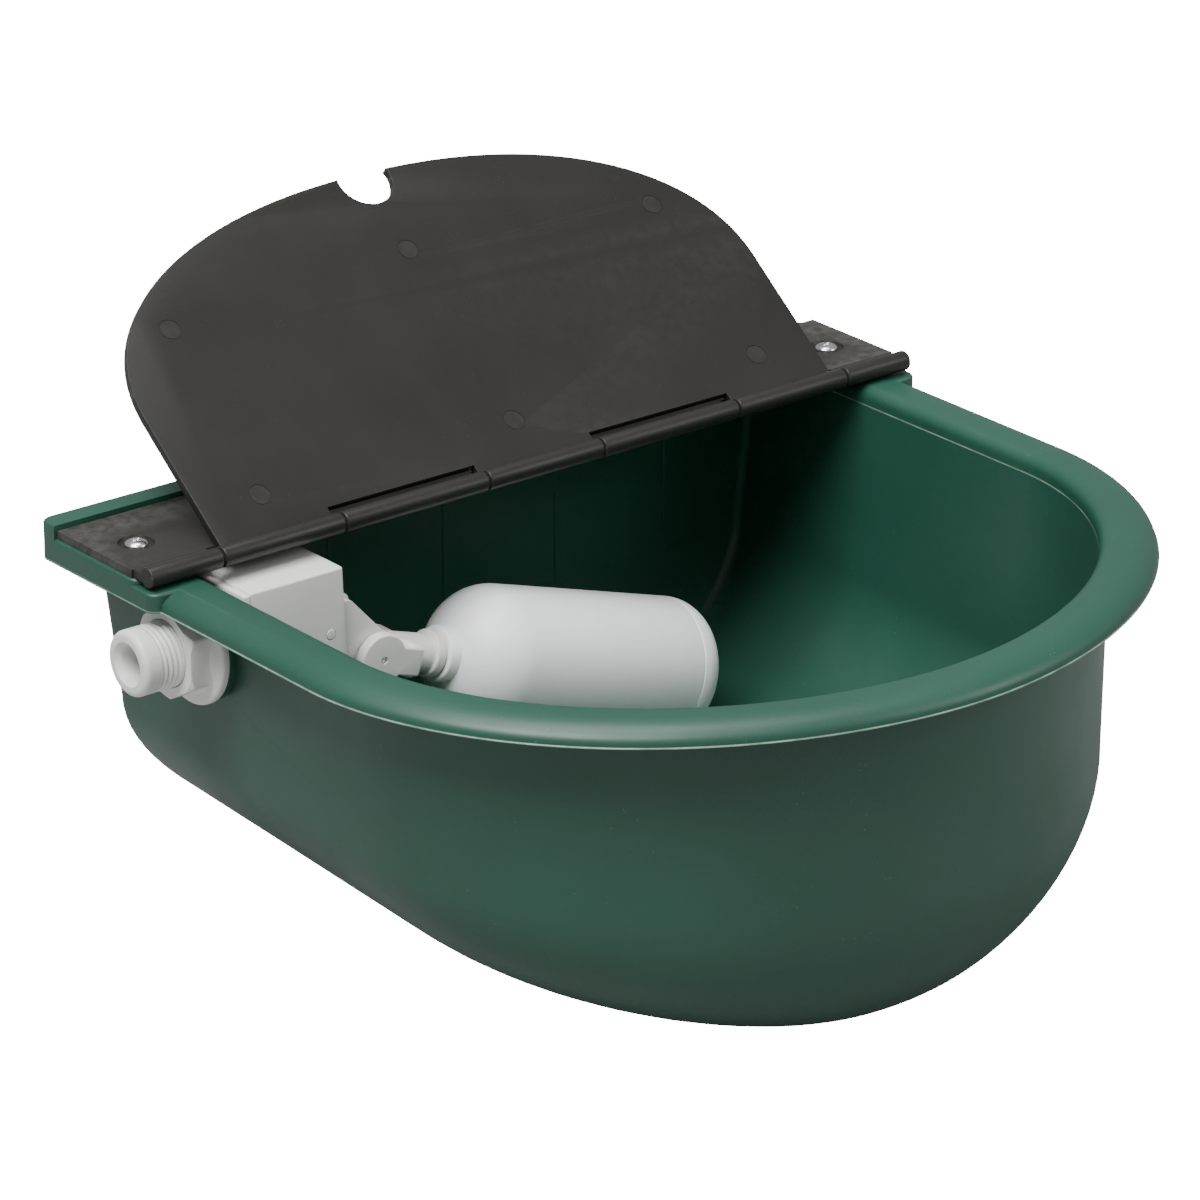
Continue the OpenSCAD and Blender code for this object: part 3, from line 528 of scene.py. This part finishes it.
def valve_body():
    centre = (0, HINGE_Y, VALVE_Z)
    obj = spigot()
    obj = joined(obj, rod(NUT_OUT - 0.1, SHOULDER_X + 0.2, SHANK_R, centre, "x", 0, 96),
                 block((SHOULDER_X, HINGE_Y - SHOULDER_HALF_W, VALVE_Z - SHOULDER_HALF_W),
                       (SPLASH_X, HINGE_Y + SHOULDER_HALF_W, VALVE_Z + SHOULDER_RISE), 0.6),
                 rod(SHOULDER_X + 0.5, GUIDE_END, GUIDE_R, centre, "x", 0.6, 96),
                 cheek(CHEEK_IN, CHEEK_OUT), cheek(-CHEEK_OUT, -CHEEK_IN))
    lug_place = (GUIDE_END - LUG_BACK, HINGE_Y, VALVE_Z - LUG_DROP)
    for s in (-1, 1):
        y0, y1 = sorted((s * 5.0, s * 13.9))
        obj = joined(obj, rod(y0, y1, LUG_R, lug_place, "y", 0.3, 32))
    mouth = rounded([(SPIGOT_END - 1, 0), (SPIGOT_END - 1, BORE_R + 2.2), (SPIGOT_END, BORE_R + 1.6),
                     (SPIGOT_END + 1.8, BORE_R), (CHAMBER_X - 4, BORE_R), (CHAMBER_X - 4, JET_BORE_R),
                     (CHAMBER_X + 1, JET_BORE_R), (CHAMBER_X + 1, 0)],
                    [0, 0, 1.0, 2.0, 0, 0, 0, 0], 6, closed=False)
    obj = cut(obj, spin("bore", mouth, centre, "x", 96),
              rod(CHAMBER_X, PLUNGER_END + 1, GUIDE_BORE_R, centre, "x", 0, 64),
              block((CHAMBER_X + 1, HINGE_Y - 3, VALVE_Z - 12), (CHAMBER_X + 6, HINGE_Y + 3, VALVE_Z)),
              rod(-9, 9, 1.31, (PIVOT_X, HINGE_Y, PIVOT_Z), "y", 0, 32))
    return obj


def lock_nut():
    centre = (0, HINGE_Y, VALVE_Z)
    r = NUT_FLATS / math.sqrt(3)
    corners = [(HINGE_Y + r * math.sin(math.radians(60 * k)), VALVE_Z + r * math.cos(math.radians(60 * k)))
               for k in range(6)]
    obj = extruded(rounded(corners, 1.0, 5), NUT_OUT, PAD_OUT - 2.0, "x")
    crown = rounded([(NUT_OUT, 0), (NUT_OUT, 14.0), (NUT_OUT + 1.2, 15.3), (PAD_OUT, 15.6), (PAD_OUT, 0)],
                    [0, 0.6, 0.8, 0, 0], 4, closed=False)
    obj = bevelled(common(obj, spin("crown", crown, centre, "x", 96)), 0.35, 3, 30)
    corners = [(PAD_OUT - 4.6, 0), (PAD_OUT - 4.6, 13.2), (PAD_OUT - 3.0, 14.6),
               (PAD_OUT - 2.8, NUT_FLANGE_R), (PAD_OUT, NUT_FLANGE_R), (PAD_OUT, 0)]
    disc = rounded(corners, [0, 0, 1.2, 1.2, 0.5, 0], 6, closed=False)
    obj = joined(obj, spin("disc", disc, centre, "x", 96))
    mouth = rounded([(NUT_OUT - 1, 0), (NUT_OUT - 1, SHANK_R + 1.2), (NUT_OUT + 0.9, SHANK_R + NUT_PLAY),
                     (PAD_OUT + 1, SHANK_R + NUT_PLAY), (PAD_OUT + 1, 0)], [0, 0, 0.6, 0, 0], 4, closed=False)
    return cut(obj, spin("mouth", mouth, centre, "x", 96))


def drafted_box(low, high, draft, edge):
    """A box whose sides lean in towards the top, with rounded edges."""
    verts = []
    for z in (low[2], high[2]):
        d = draft if z == high[2] else 0.0
        verts += [(low[0], low[1] + d, z), (high[0] - d, low[1] + d, z), (high[0] - d, high[1] - d, z),
                  (low[0], high[1] - d, z)]
    faces = [[0, 3, 2, 1], [4, 5, 6, 7], [0, 1, 5, 4], [1, 2, 6, 5], [2, 3, 7, 6], [3, 0, 4, 7]]
    obj = solid("box", verts, faces)
    return bevelled(obj, edge, 5) if edge > 0 else obj


def splash_cover():
    """The box over the valve: open below and towards the wall, with a mouth for the float arm."""
    y0, y1 = HINGE_Y - BOX_HALF_W, HINGE_Y + BOX_HALF_W
    z0, z1 = VALVE_Z - BOX_BELOW, VALVE_Z + BOX_RISE
    inside = drafted_box((SPLASH_X - 2, y0 + BOX_WALL, z0 - 2),
                         (SPLASH_END - BOX_WALL, y1 - BOX_WALL, z1 - BOX_WALL), BOX_DRAFT, 0.6)
    mouth = block((SPLASH_END - 3.2, HINGE_Y - 8, z0 - 1), (SPLASH_END + 1, HINGE_Y + 8, VALVE_Z + 6.5))
    obj = cut(drafted_box((SPLASH_X, y0, z0), (SPLASH_END, y1, z1), BOX_DRAFT, 0.9), inside, mouth)
    lug_place = (GUIDE_END - LUG_BACK, HINGE_Y, VALVE_Z - LUG_DROP)
    for s in (-1, 1):
        a, b = sorted((s * 10, s * 15))
        obj = cut(obj, rod(a, b, LUG_R + 0.15, lug_place, "y", 0, 40))
    return obj


# ---- Float ----

def arm_turn(angle):
    return Matrix.Translation((PIVOT_X, HINGE_Y, PIVOT_Z)) @ Matrix.Rotation(math.radians(angle), 4, "Y")


def float_arm():
    obj = None
    for s in (-1, 1):
        y0, y1 = sorted((s * EAR_IN, s * EAR_OUT))
        ear = rod(y0, y1, EAR_R, (0, 0, 0), "y", 0.7, 96)
        web = block((0, y0, -4.7), (BLOCK_OUT, y1, 4.7), 0.9)
        ear = joined(ear, web)
        obj = joined(obj, ear) if obj else ear
    obj = joined(obj, block((BLOCK_IN, -EAR_OUT, -5.6), (BLOCK_OUT, EAR_OUT, 5.6), 2.4, 5),
                 block((0, -HUB_HALF_W, -3), (BLOCK_IN + 1.2, HUB_HALF_W, 3), 0.4))
    shaft = rounded([(BLOCK_IN + 1, 0), (BLOCK_IN + 1, ROD_R), (FLOAT_START - 7, ROD_R),
                     (FLOAT_START - 7, ROD_R + COLLAR_OVER), (FLOAT_START - 3.5, ROD_R + COLLAR_OVER),
                     (FLOAT_START - 3.5, ROD_R), (FLOAT_START + SOCKET_LEN, ROD_R),
                     (FLOAT_START + SOCKET_LEN, 0)],
                    [0, 0.4, 1.2, 0.7, 0.7, 0.4, 0.3, 0], 5, closed=False)
    obj = joined(obj, spin("shaft", shaft, (0, 0, 0), "x", 80))
    moved(obj, arm_turn(DROP))
    hub = rod(-HUB_HALF_W, HUB_HALF_W, 5, (0, 0, 0), "y", 0.3)
    finger = joined(block((-1.5, -HUB_HALF_W, 0), (1.5, HUB_HALF_W, FINGER_LEN)),
                    rod(-HUB_HALF_W, HUB_HALF_W, 2.4, (0, 0, FINGER_LEN), "y", 0.2, 32))
    moved(finger, Matrix.Rotation(math.radians(FINGER_TURN), 4, "Y"))
    lever = moved(joined(hub, finger), Matrix.Translation((PIVOT_X, HINGE_Y, PIVOT_Z)))
    obj = joined(obj, lever)
    return cut(obj, rod(-EAR_OUT - 1, EAR_OUT + 1, 1.27, (PIVOT_X, HINGE_Y, PIVOT_Z), "y", 0, 40))


def float_profile(t, end, steps=24):
    """Half section of the float's shell, at a depth t under its skin."""
    pts = [(FLOAT_START + t, 0.0)]
    for i in range(1, steps + 1):
        q = math.pi / 2 * i / steps
        along = FLOAT_START + t + (SHOULDER_LEN - t) * (1 - math.cos(q))
        pts.append((along, (FLOAT_R - t) * math.sin(q) ** 0.9))
    return pts + [(end, FLOAT_R - t), (end, 0.0)]


def float_shell():
    skin = rounded(float_profile(0, CAP_X), [0] * 25 + [0.35, 0], 3, closed=False)
    obj = spin("skin", skin, (0, 0, 0), "x", 128)
    neck_start, neck_end = FLOAT_START - NECK_LEN, FLOAT_START + SOCKET_LEN
    neck = rounded([(neck_start, 0), (neck_start, NECK_R), (neck_end, NECK_R), (neck_end, 0)],
                   [0, 0.8, 0, 0], 5, closed=False)
    obj = joined(obj, spin("neck", neck, (0, 0, 0), "x", 96))
    inside = cut(spin("inside", float_profile(FLOAT_WALL, CAP_X + 1), (0, 0, 0), "x", 96),
                 rod(FLOAT_START - 4, FLOAT_START + 8, NECK_R, (0, 0, 0), "x", 0))
    obj = cut(obj, inside, rod(FLOAT_START - 4, FLOAT_START + 6.1, ROD_R + 0.03, (0, 0, 0), "x", 0, 80))
    return moved(obj, arm_turn(DROP))


def float_cap():
    def half(t):
        pts = [(0, 0), (0, FLOAT_R - t)]
        for q in np.linspace(0, math.pi / 2, 17):
            pts.append((CAP_LEN - CAP_ROUND + (CAP_ROUND - t) * math.sin(q),
                        FLOAT_R - CAP_ROUND + (CAP_ROUND - t) * math.cos(q)))
        return pts + [(CAP_LEN - t, 0)]

    skin = rounded(half(0), [0, 0.35] + [0] * 18, 3, closed=False)
    inside = spin("inside", half(FLOAT_WALL), (CAP_X - 0.05, 0, 0), "x", 96)
    obj = cut(spin("skin", skin, (CAP_X, 0, 0), "x", 128), inside)
    return moved(obj, arm_turn(DROP))


def pin(x0, x1, r, centre, axis):
    profile = [(x0, 0), (x0, r - 0.3), (x0 + 0.3, r), (x1 - 0.3, r), (x1, r - 0.3), (x1, 0)]
    return spin("pin", profile, centre, axis, 40)


# ---- Materials ----

class Nodes:
    """Short calls for building a material's node tree."""

    def __init__(self, name):
        self.material = bpy.data.materials.new(name)
        self.material.use_nodes = True
        self.tree = self.material.node_tree
        self.tree.nodes.clear()
        self.out = self.tree.nodes.new("ShaderNodeOutputMaterial")
        self.shader = self.tree.nodes.new("ShaderNodeBsdfPrincipled")
        self.tree.links.new(self.shader.outputs[0], self.out.inputs[0])
        self.coords = self.tree.nodes.new("ShaderNodeTexCoord").outputs["Object"]

    def put(self, kind, inputs=(), **settings):
        node = self.tree.nodes.new(kind)
        for key, value in settings.items():
            setattr(node, key, value)
        for key, value in dict(inputs).items():
            if isinstance(value, bpy.types.NodeSocket):
                self.tree.links.new(value, node.inputs[key])
            else:
                node.inputs[key].default_value = value
        return node

    def noise(self, scale, detail=2.0, rough=0.5, stretch=None):
        coords = self.coords
        if stretch:
            coords = self.put("ShaderNodeMapping", {"Vector": coords, "Scale": stretch}).outputs[0]
        return self.put("ShaderNodeTexNoise", {"Vector": coords, "Scale": scale, "Detail": detail,
                                               "Roughness": rough}).outputs["Fac"]

    def band(self, value, low, high, out_low=0.0, out_high=1.0):
        return self.put("ShaderNodeMapRange", {"Value": value, "From Min": low, "From Max": high,
                                               "To Min": out_low, "To Max": out_high}).outputs[0]

    def math(self, operation, a, b):
        return self.put("ShaderNodeMath", {0: a, 1: b}, operation=operation).outputs[0]

    def mix(self, factor, a, b):
        node = self.put("ShaderNodeMix", data_type="RGBA")
        for socket, value in ((node.inputs[0], factor), (node.inputs[6], a), (node.inputs[7], b)):
            if isinstance(value, bpy.types.NodeSocket):
                self.tree.links.new(value, socket)
            else:
                socket.default_value = value
        return node.outputs[2]

    def height(self):
        """Height of a point in the CAD frame, in metres."""
        return self.put("ShaderNodeSeparateXYZ", {0: self.coords}).outputs[2]

    def edges(self, low, high):
        """1 along outward edges, 0 elsewhere."""
        return self.band(self.put("ShaderNodeNewGeometry").outputs["Pointiness"], low, high)

    def finish(self, colour, rough, bumps, **settings):
        self.tree.links.new(colour, self.shader.inputs["Base Color"])
        self.tree.links.new(rough, self.shader.inputs["Roughness"])
        normal = None
        for height, depth in bumps:
            inputs = {"Height": height, "Distance": depth, "Strength": 1.0}
            if normal:
                inputs["Normal"] = normal
            normal = self.put("ShaderNodeBump", inputs).outputs[0]
        self.tree.links.new(normal, self.shader.inputs["Normal"])
        for key, value in settings.items():
            self.shader.inputs[key.replace("_", " ")].default_value = value
        return self.material


def tone(colour, factor):
    return tuple(c * factor for c in colour) + (1.0,)


def moulded(name, colour, rough, mottle=0.12, grain=0.00002, edge_wear_and_highlight=None, speck=None, **settings):
    """Moulded plastic: soft mottling, fine grain, faint flow marks, lighter edges (scuffing wear and a
    painted highlight along the bevels) and small specks.
    """
    n = Nodes(name)
    cloud = n.noise(14, 3, 0.55)
    shade = n.mix(n.band(cloud, 0.3, 0.7), tone(colour, 1 - mottle), tone(colour, 1 + mottle))
    fine = n.noise(900, 2, 0.6)
    shade = n.mix(n.band(fine, 0.35, 0.65, 0.0, 0.35), shade, tone(colour, 1 + 1.5 * mottle))
    if edge_wear_and_highlight:
        # Lighter colour along sharp edges: partly scuffing wear, partly a painted highlight on the bevels.
        mask = n.math("MULTIPLY", n.edges(0.52, 0.60), n.band(n.noise(260, 3, 0.6), 0.35, 0.6, 0.25, 1.0))
        shade = n.mix(n.math("MULTIPLY", mask, edge_wear_and_highlight[1]), shade, edge_wear_and_highlight[0] + (1.0,))
    if speck:
        dots = n.put("ShaderNodeTexVoronoi", {"Vector": n.coords, "Scale": speck[1]}).outputs["Distance"]
        pick = n.math("MULTIPLY", n.band(dots, 0.06, 0.11, 1.0, 0.0), n.band(n.noise(90, 2), 0.55, 0.62))
        shade = n.mix(n.math("MULTIPLY", pick, speck[2]), shade, speck[0] + (1.0,))
    sheen = n.band(n.noise(30, 4, 0.6), 0.25, 0.75, rough - 0.06, rough + 0.07)
    flow = n.noise(22, 2, 0.5, stretch=(1.0, 1.0, 0.35))
    return n.finish(shade, sheen, [(n.band(flow, 0.2, 0.8), 0.00012), (fine, grain)], **settings)


def green_plastic():
    """Green bowl plastic, with a paler band painted along the foot of the rim, over the moulding flash: a
    painted highlight.
    """
    colour = (0.014, 0.068, 0.045)
    n = Nodes("green_plastic")
    cloud = n.noise(9, 3, 0.55)
    shade = n.mix(n.band(cloud, 0.3, 0.7), tone(colour, 0.88), tone(colour, 1.10))
    fine = n.noise(1100, 2, 0.6)
    shade = n.mix(n.band(fine, 0.4, 0.7, 0.0, 0.25), shade, tone(colour, 1.3))
    # A pale band painted at the rim's foot, along the moulding flash: a painted highlight, broken up by
    # noise.
    z = n.height()
    low = n.band(z, (RIM_LOW - 0.05) * MM, (RIM_LOW + 0.1) * MM)
    high = n.band(z, (RIM_LOW + 0.3) * MM, (RIM_LOW + 0.6) * MM, 1.0, 0.0)
    broken = n.band(n.noise(120, 3, 0.6), 0.3, 0.6, 0.35, 1.0)
    line = n.math("MULTIPLY", n.math("MULTIPLY", low, high), broken)
    shade = n.mix(line, shade, (0.23, 0.36, 0.27, 1.0))
    dots = n.put("ShaderNodeTexVoronoi", {"Vector": n.coords, "Scale": 420}).outputs["Distance"]
    pick = n.math("MULTIPLY", n.band(dots, 0.05, 0.1, 1.0, 0.0), n.band(n.noise(70, 2), 0.58, 0.64))
    shade = n.mix(n.math("MULTIPLY", pick, 0.5), shade, (0.16, 0.27, 0.22, 1.0))
    sheen = n.band(n.noise(26, 4, 0.6), 0.25, 0.75, 0.36, 0.48)
    flow = n.noise(16, 2, 0.5)
    return n.finish(shade, sheen, [(n.band(flow, 0.2, 0.8), 0.00025), (fine, 0.000012)])


def metal(name, colour, rough, brush=900):
    n = Nodes(name)
    grain = n.noise(brush, 3, 0.6, stretch=(1.0, 0.25, 1.0))
    patch = n.noise(160, 3, 0.6)
    shade = n.mix(n.band(patch, 0.35, 0.65), tone(colour, 0.82), tone(colour, 1.08))
    sheen = n.band(grain, 0.3, 0.7, rough - 0.06, rough + 0.1)
    return n.finish(shade, sheen, [(grain, 0.00001)], Metallic=1.0)


def rubber(name, colour):
    n = Nodes(name)
    fine = n.noise(1500, 3, 0.6)
    shade = n.mix(n.band(n.noise(80, 3), 0.3, 0.7), tone(colour, 0.85), tone(colour, 1.2))
    return n.finish(shade, n.band(fine, 0.3, 0.7, 0.6, 0.78), [(fine, 0.00003)])


def paint(node, material):
    """Gives a CAD node that stays its material."""
    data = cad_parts[node].data
    if not data.materials:
        data.materials.append(material)
    for i in range(len(data.materials)):
        data.materials[i] = material


# ---- Stage ----

def camera():
    """The photograph's viewpoint: azimuth, elevation and distance from a point below the hinge's middle."""
    azimuth, elevation, distance = math.radians(-38.58), math.radians(22.60), 1.90226
    aim = Vector((0.0040, HINGE_Y * MM - 0.0238, HINGE_Z * MM - 0.0387))
    back = Vector((math.sin(azimuth) * math.cos(elevation), -math.cos(azimuth) * math.cos(elevation),
                   math.sin(elevation)))
    data = bpy.data.cameras.new("camera")
    data.lens, data.sensor_width, data.shift_y = 181.57, 36.0, -0.00195
    data.clip_start, data.clip_end = 0.1, 20
    obj = bpy.data.objects.new("camera", data)
    obj.location = aim + back * distance
    obj.rotation_mode = "QUATERNION"
    obj.rotation_quaternion = (-back).to_track_quat("-Z", "Y")
    bpy.context.scene.collection.objects.link(obj)
    bpy.context.scene.camera = obj


def lamp(name, place, aim, size, watts, colour=(1, 1, 1)):
    data = bpy.data.lights.new(name, "AREA")
    data.shape, data.size, data.size_y, data.energy, data.color = "RECTANGLE", size[0], size[1], watts, colour
    obj = bpy.data.objects.new(name, data)
    obj.location = place
    obj.rotation_mode = "QUATERNION"
    obj.rotation_quaternion = (Vector(aim) - Vector(place)).to_track_quat("-Z", "Y")
    bpy.context.scene.collection.objects.link(obj)


def lights():
    middle = (0, -0.13, 0)
    lamp("key", (-1.1, -0.5, 2.0), middle, (1.3, 1.0), 78)
    lamp("fill", (1.5, -1.7, 1.3), middle, (1.2, 1.0), 17)
    lamp("top", (0.0, 0.2, 2.2), middle, (1.2, 0.8), 32)
    world = bpy.data.worlds.new("studio")
    world.use_nodes = True
    world.node_tree.nodes["Background"].inputs[0].default_value = (1, 1, 1, 1)
    world.node_tree.nodes["Background"].inputs[1].default_value = 0.36
    bpy.context.scene.world = world


def floor():
    """A floor that looks white to the camera but throws little light up at the bowl."""
    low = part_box("bowl")[0][2]
    half = 4.0
    mesh = bpy.data.meshes.new("floor")
    corners = [(-half, -half, low), (half, -half, low), (half, half, low), (-half, half, low)]
    mesh.from_pydata(corners, [], [[0, 1, 2, 3]])
    obj = bpy.data.objects.new("floor", mesh)
    bpy.context.scene.collection.objects.link(obj)
    n = Nodes("floor_paper")
    cloud = n.noise(3, 2)
    shade = n.mix(cloud, (0.26, 0.26, 0.26, 1), (0.30, 0.30, 0.30, 1))
    material = n.finish(shade, n.band(cloud, 0, 1, 0.75, 0.85), [(n.noise(800, 2), 0.00001)])
    seen = n.put("ShaderNodeLightPath").outputs["Is Camera Ray"]
    n.shader.inputs["Emission Color"].default_value = (1, 1, 1, 1)
    n.tree.links.new(n.band(seen, 0, 1, 0.05, 16.0), n.shader.inputs["Emission Strength"])
    mesh.materials.append(material)


# ---- The object ----

def build():
    green = green_plastic()
    # The black plastic's paler edge colour is partly wear and partly a painted highlight on its bevels.
    black = moulded("black_plastic", (0.0175, 0.0170, 0.0160), 0.40, 0.05, 0.00002,
                    ((0.13, 0.125, 0.115), 0.3), ((0.16, 0.16, 0.15), 700, 0.3), Specular_IOR_Level=0.28)
    white = moulded("white_plastic", (0.74, 0.74, 0.72), 0.38, 0.02, 0.00001,
                    Subsurface_Weight=0.15, Subsurface_Scale=0.002)
    float_white = moulded("float_plastic", (0.90, 0.90, 0.89), 0.40, 0.012, 0.00001,
                          Subsurface_Weight=0.35, Subsurface_Scale=0.004)
    zinc = metal("zinc", (0.78, 0.78, 0.80), 0.22)
    steel = metal("jet_steel", (0.62, 0.62, 0.64), 0.30)
    seal = rubber("seal_rubber", (0.02, 0.02, 0.02))

    piece(bowl(), "bowl_shell", "bowl", ["bowl"], green)
    piece(cover_plate(), "hinge_plate", "bowl", ["cover_plate"], black)
    piece(cover_flap(), "flap_lid", "flap", ["cover_flap"], black)
    piece(cover_screws(), "plate_screws", "bowl", ["cover_screws"], zinc)
    piece(valve_body(), "valve_housing", "bowl", ["valve_body"], white)
    piece(lock_nut(), "inlet_nut", "bowl", ["lock_nut"], white)
    piece(splash_cover(), "splash_box", "bowl", ["splash_cover"], white)
    piece(float_arm(), "float_lever", "float", ["float_arm"], white)
    piece(float_shell(), "float_body", "float", ["float_shell"], float_white)
    piece(float_cap(), "float_end", "float", ["float_cap"], float_white)
    hinge = pin(-BARREL_HALF + 2.2, BARREL_HALF - 1, PIN_R, (0, HINGE_Y, HINGE_Z), "x")
    piece(hinge, "hinge_rod", "bowl", ["hinge_pin"], zinc)
    pivot = pin(-EAR_OUT + 1, EAR_OUT - 1, 1.25, (PIVOT_X, HINGE_Y, PIVOT_Z), "y")
    piece(pivot, "pivot_rod", "float", ["pivot_pin"], zinc)
    for node in ("wall_gasket", "nozzle_ring", "plunger_washer"):
        paint(node, seal)
    paint("nozzle", steel)
    paint("plunger", white)


camera()
build()
lights()
floor()
